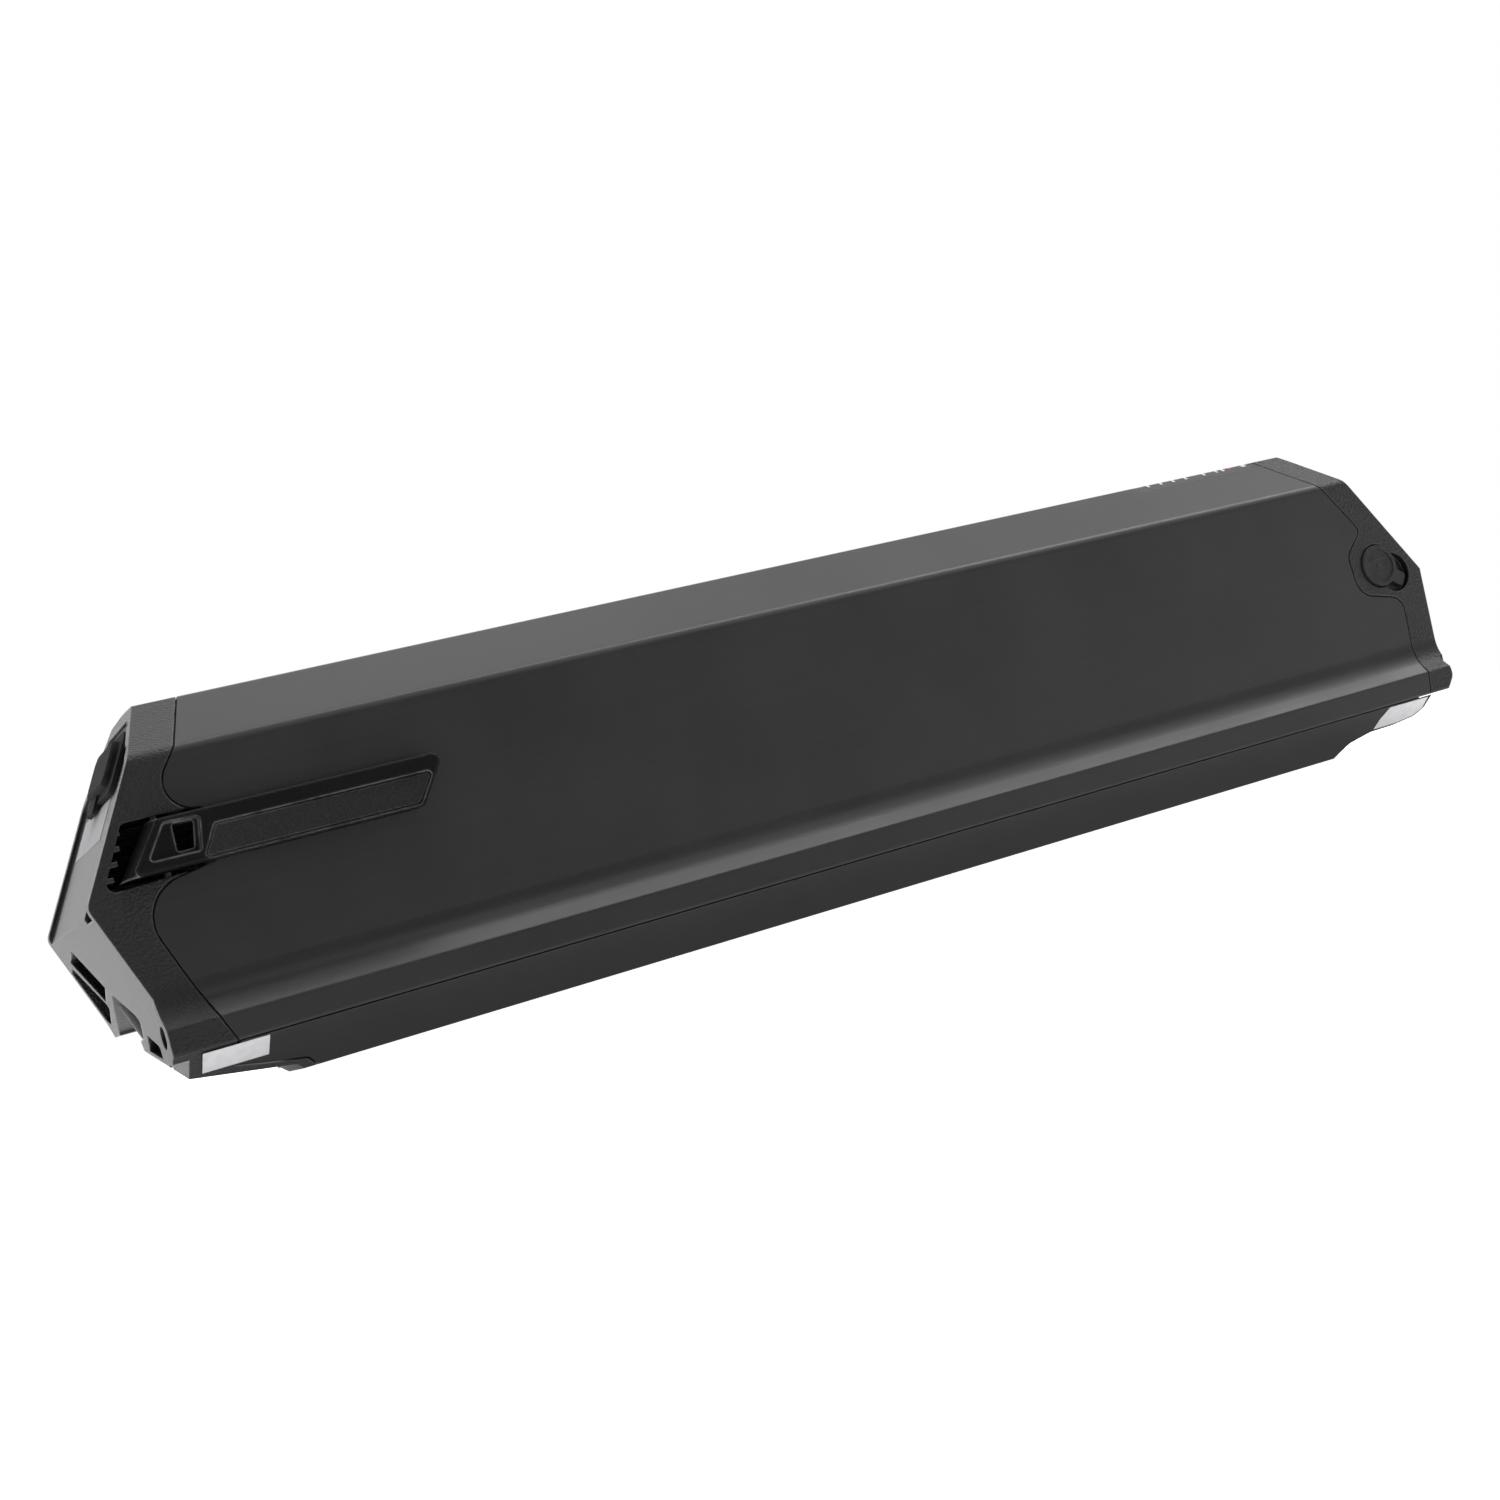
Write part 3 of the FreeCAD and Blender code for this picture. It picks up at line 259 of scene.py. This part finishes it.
LOOKS = {
    "housing_black": anodised,
    # The wear value sets how much lighter the edges are painted: wear plus a painted highlight.
    "cap_black": lambda n: moulded(n, 0.007, grain=0.0008, depth=0.00015, rough=0.44, wear_and_highlight=0.09,
                                   rounding=0.0007, specular=0.5, edge_width=0.0010),
    "base_black": lambda n: moulded(n, 0.013, grain=0.0003, depth=0.00002, rough=0.5, wear_and_highlight=0.03,
                                    rounding=0.0003, specular=0.34),
    "gasket_rubber": lambda n: rubber(n, 0.006, 0.8),
    "screw_steel": lambda n: metal(n, (0.2, 0.2, 0.21), 0.35),
    "lever_black": lambda n: moulded(n, 0.003, grain=0.0007, depth=0.0001, rough=0.42, wear_and_highlight=0.30,
                                     rounding=0.0013, specular=0.16, edge_width=0.0013),
    "grip_black": lambda n: moulded(n, 0.007, grain=0.0009, depth=0.0003, rough=0.55, wear_and_highlight=0.20,
                                    rounding=0.0009, specular=0.36, edge_width=0.0012),
    "pin_steel": lambda n: metal(n, (0.12, 0.12, 0.12), 0.45),
    "flap_rubber": lambda n: rubber(n, 0.014, 0.85, 0.08),
    "socket_black": lambda n: glossy(n, (0.02, 0.02, 0.022)),
    "catch_steel": lambda n: metal(n, (0.42, 0.42, 0.43)),
    "plug_rubber": lambda n: rubber(n, 0.02, 0.62),
    "contact_brass": lambda n: metal(n, (0.8, 0.62, 0.3), 0.2),
    "film_black": lambda n: glossy(n, (0.02, 0.02, 0.022), 0.38),
    "pipe_white": lambda n: glossy(n, (0.85, 0.86, 0.88), 0.4),
    "status_red": lambda n: glossy(n, (0.7, 0.05, 0.04), 0.35),
    "button_black": lambda n: rubber(n, 0.05, 0.6),
    "board_green": lambda n: glossy(n, (0.02, 0.12, 0.06), 0.35),
    "part_black": lambda n: moulded(n, 0.03),
    "cell_wrap": lambda n: glossy(n, (0.012, 0.02, 0.035), 0.4),
    "holder_grey": lambda n: moulded(n, 0.07),
    "nickel": lambda n: metal(n, (0.68, 0.67, 0.62), 0.3, (0.05, 1.0, 1.0)),
    "insulation_white": lambda n: film(n, (0.75, 0.73, 0.66)),
    "foam_grey": lambda n: rubber(n, 0.12, 0.9),
    "fuse_glass": lambda n: glossy(n, (0.85, 0.9, 0.9), 0.1, 0.6),
    "wire_red": lambda n: glossy(n, (0.5, 0.02, 0.02), 0.4),
    "wire_black": lambda n: glossy(n, (0.02, 0.02, 0.02), 0.4),
    "wire_white": lambda n: glossy(n, (0.7, 0.7, 0.68), 0.4),
    "label_white": lambda n: film(n, (0.86, 0.86, 0.87)),
    "label_silver": lambda n: film(n, (0.40, 0.40, 0.41), 0.7, 0.15, 0.0),
}


def paint_nodes():
    """One material for each slot in the record, put on every node of that slot."""
    made = {}
    for part in frame["record"]["subparts"]:
        name = part["material_slot"]
        if name not in made:
            made[name] = LOOKS[name](name + "_look").material
        node = NODES[part["node"]]
        node.data.materials.clear()
        node.data.materials.append(made[name])


# ---------------------------------------------------------------- studio

FLOOR_REACH = 40.0
ROOM_DIM = 0.05
ROOM_GAINS = (("Y", 0.25, 0.9, 1.0), ("X", 0.1, 0.5, 0.4))  # axis, from, to, strength
WHITE = (1.0, 1.0, 1.0, 1.0)
LIGHTS = (  # name, place, target, size, watts
    ("overhead", (-0.65, 1.3, 1.8), (-0.65, 1.3, 0.0), (3.0, 2.6), 13.2),
    ("strip", (0.9, -0.05, 1.8), (0.9, -0.05, 0.0), (3.6, 0.6), 34.0),
    ("over_left_end", (0.05, -0.05, 1.8), (0.05, -0.05, 0.0), (0.8, 0.6), 10.0),
    ("left", (-1.8, -0.5, 0.35), (-0.2, 0.0, 0.06), (0.8, 0.5), 4.0),
    ("behind", (-0.5, 3.0, 0.6), (-0.5, 0.0, 0.6), (2.0, 1.2), 7.5),
    ("front_high", (0.5, -1.15, 1.25), (0.0, 0.0, 0.05), (2.8, 0.5), 4.0),
)


def area_light(name, place, target, size, watts):
    data = bpy.data.lights.new(name, "AREA")
    data.shape = "RECTANGLE"
    data.size, data.size_y = size
    data.energy = watts
    light = bpy.data.objects.new(name, data)
    light.location = place
    light.rotation_mode = "QUATERNION"
    light.rotation_quaternion = (Vector(target) - Vector(place)).to_track_quat("-Z", "Y")
    light.visible_camera = False
    scene.collection.objects.link(light)


def floor():
    """Pale floor, white to the camera; to all other rays it glows more behind and to the right."""
    mesh = bpy.data.meshes.new("floor")
    corners = [(x * FLOOR_REACH, y * FLOOR_REACH, 0) for x, y in ((-1, -1), (1, -1), (1, 1), (-1, 1))]
    mesh.from_pydata(corners, [], [(0, 1, 2, 3)])
    piece = bpy.data.objects.new("floor", mesh)
    scene.collection.objects.link(piece)
    look = Look("floor_look", rough=0.9, specular=0.1)
    look.colour(look.mix(look.noise(0.5, 2.0), grey(0.70), grey(0.74)))
    split = look.tree.nodes.new("ShaderNodeSeparateXYZ")
    look.link(look.place, split.inputs[0])
    lit = look.math("MAXIMUM", look.ramp(split.outputs["Y"], -0.15, 0.1),
                    look.ramp(split.outputs["X"], -0.1, 1.0))
    seen = look.tree.nodes.new("ShaderNodeLightPath").outputs["Is Camera Ray"]
    look.set("Emission Color", WHITE)
    look.link(look.math("MAXIMUM", lit, seen), look.shader.inputs["Emission Strength"])
    mesh.materials.append(look.material)


def surroundings():
    """White backdrop for the camera; for reflections, bright behind and to the right, dim in front."""
    world = bpy.data.worlds.new("studio")
    scene.world = world
    world.use_nodes = True
    tree = world.node_tree
    split = tree.nodes.new("ShaderNodeSeparateXYZ")
    tree.links.new(tree.nodes.new("ShaderNodeTexCoord").outputs["Generated"], split.inputs[0])
    total = ROOM_DIM
    for axis, low, high, strength in ROOM_GAINS:
        gain = tree.nodes.new("ShaderNodeMapRange")
        gain.interpolation_type = "SMOOTHSTEP"
        tree.links.new(split.outputs[axis], gain.inputs["Value"])
        gain.inputs["From Min"].default_value = low
        gain.inputs["From Max"].default_value = high
        gain.inputs["To Max"].default_value = strength
        add = tree.nodes.new("ShaderNodeMath")
        if isinstance(total, float):
            add.inputs[0].default_value = total
        else:
            tree.links.new(total, add.inputs[0])
        tree.links.new(gain.outputs["Result"], add.inputs[1])
        total = add.outputs[0]
    room = tree.nodes["Background"]
    room.inputs["Color"].default_value = WHITE
    tree.links.new(total, room.inputs["Strength"])
    backdrop = tree.nodes.new("ShaderNodeBackground")
    backdrop.inputs["Color"].default_value = WHITE
    backdrop.inputs["Strength"].default_value = 1.0
    path = tree.nodes.new("ShaderNodeLightPath")
    mix = tree.nodes.new("ShaderNodeMixShader")
    tree.links.new(path.outputs["Is Camera Ray"], mix.inputs[0])
    tree.links.new(room.outputs[0], mix.inputs[1])
    tree.links.new(backdrop.outputs[0], mix.inputs[2])
    tree.links.new(mix.outputs[0], tree.nodes["World Output"].inputs["Surface"])


add_camera()
paint_nodes()
floor()
surroundings()
for light in LIGHTS:
    area_light(*light)
